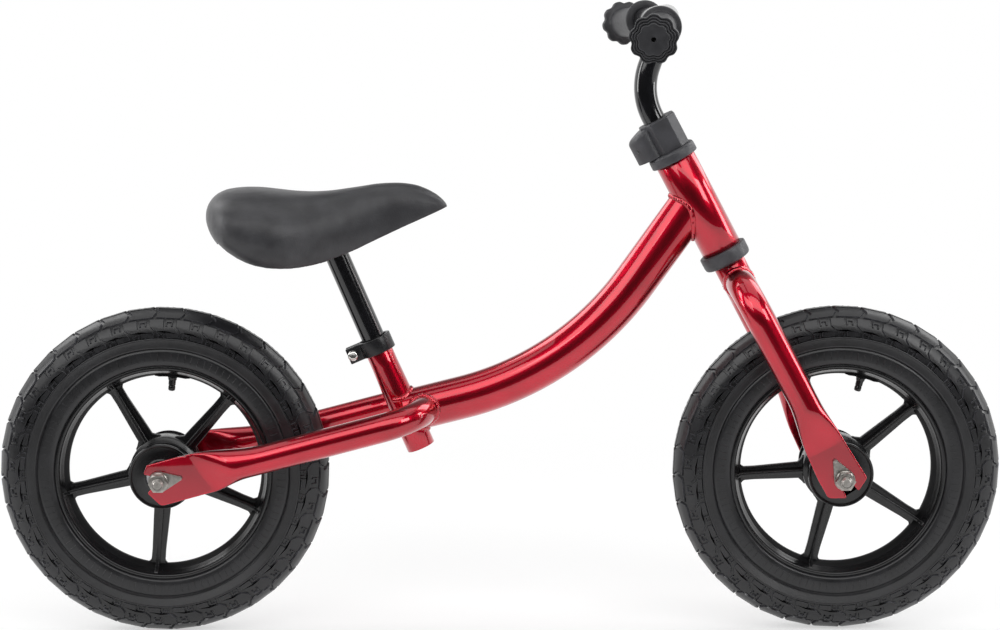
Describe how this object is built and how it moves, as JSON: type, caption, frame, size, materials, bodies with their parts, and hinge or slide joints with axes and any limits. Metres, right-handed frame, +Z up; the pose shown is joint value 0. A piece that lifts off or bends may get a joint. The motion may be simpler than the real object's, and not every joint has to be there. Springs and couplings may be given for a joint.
{
  "type": "balance bike",
  "caption": "Child's pedal-free balance bike: bent-tube frame, unicrown fork, foam-tyred spoked wheels, padded saddle on a clamped post and a swept handlebar on a curved stem.",
  "frame": {"origin": "on the ground, midway along the whole bicycle and on its middle plane", "axes": "+X forward, +Y to the rider's left, +Z up; metres, at rest with the wheel and the bar straight ahead"},
  "size_m": [0.8839, 0.3846, 0.5545],
  "materials": {
    "red_paint": "candy metallic red with a clear gloss coat",
    "black_paint": "gloss black powder coat",
    "zinc": "bright zinc plate",
    "grey_plastic": "moulded with a fine matte grain",
    "rim_plastic": "moulded, semi-gloss black",
    "tyre_foam": "matte closed-cell foam",
    "grip_rubber": "moulded, matte",
    "saddle_skin": "fine-grained synthetic skin, satin",
    "saddle_plastic": "moulded",
    "bearing_steel": "ground"
  },
  "bodies": {
    "frame": {"main_tube": "red_paint", "head_tube": "red_paint", "seat_tube": "red_paint", "stay_right": "red_paint", "stay_left": "red_paint", "seat_clamp": "black_paint", "seat_clamp_bolt": "zinc", "seat_clamp_nut": "zinc", "headset_lower_cup": "grey_plastic", "headset_upper_cup": "grey_plastic", "rear_axle": "zinc", "rear_axle_nuts": "zinc", "rear_hook_washers": "zinc", "rear_axle_spacers": "zinc"},
    "rear_wheel": {"rear_tyre": "tyre_foam", "rear_rim": "rim_plastic", "rear_hub_bearings": "bearing_steel"},
    "fork": {"fork_steerer": "red_paint", "fork_crown": "red_paint", "fork_leg_right": "red_paint", "fork_leg_left": "red_paint", "front_axle": "zinc", "front_axle_nuts": "zinc", "front_hook_washers": "zinc", "front_axle_spacers": "zinc", "stem_collar": "zinc", "stem_collar_bolt": "zinc", "stem_collar_nut": "zinc", "stem_collar_cover": "grey_plastic"},
    "front_wheel": {"front_tyre": "tyre_foam", "front_rim": "rim_plastic", "front_hub_bearings": "bearing_steel"},
    "handlebar": {"stem": "black_paint", "crossbar": "black_paint", "grip_right": "grip_rubber", "grip_left": "grip_rubber"},
    "seat": {"seat_post": "black_paint", "post_plate": "black_paint", "saddle_screws": "zinc", "saddle_base": "saddle_plastic", "saddle_pad": "saddle_skin"}
  },
  "joints": [
    {"name": "rear_wheel_spin", "type": "hinge", "parent": "frame", "child": "rear_wheel", "pos_m": [-0.297, 0, 0.145], "axis": [0, 1, 0], "continuous": true},
    {"name": "steering", "type": "hinge", "parent": "frame", "child": "fork", "pos_m": [0.17259, 0, 0.37898], "axis": [-0.4695, 0, 0.8829], "continuous": true},
    {"name": "front_wheel_spin", "type": "hinge", "parent": "fork", "child": "front_wheel", "pos_m": [0.297, 0, 0.145], "axis": [0, 1, 0], "continuous": true},
    {"name": "handlebar_height", "type": "slide", "parent": "fork", "child": "handlebar", "axis": [-0.4695, 0, 0.8829], "range_m": [0, 0.05]},
    {"name": "seat_height", "type": "slide", "parent": "frame", "child": "seat", "axis": [-0.3939, 0, 0.9191], "range_m": [-0.055, 0.045]}
  ]
}
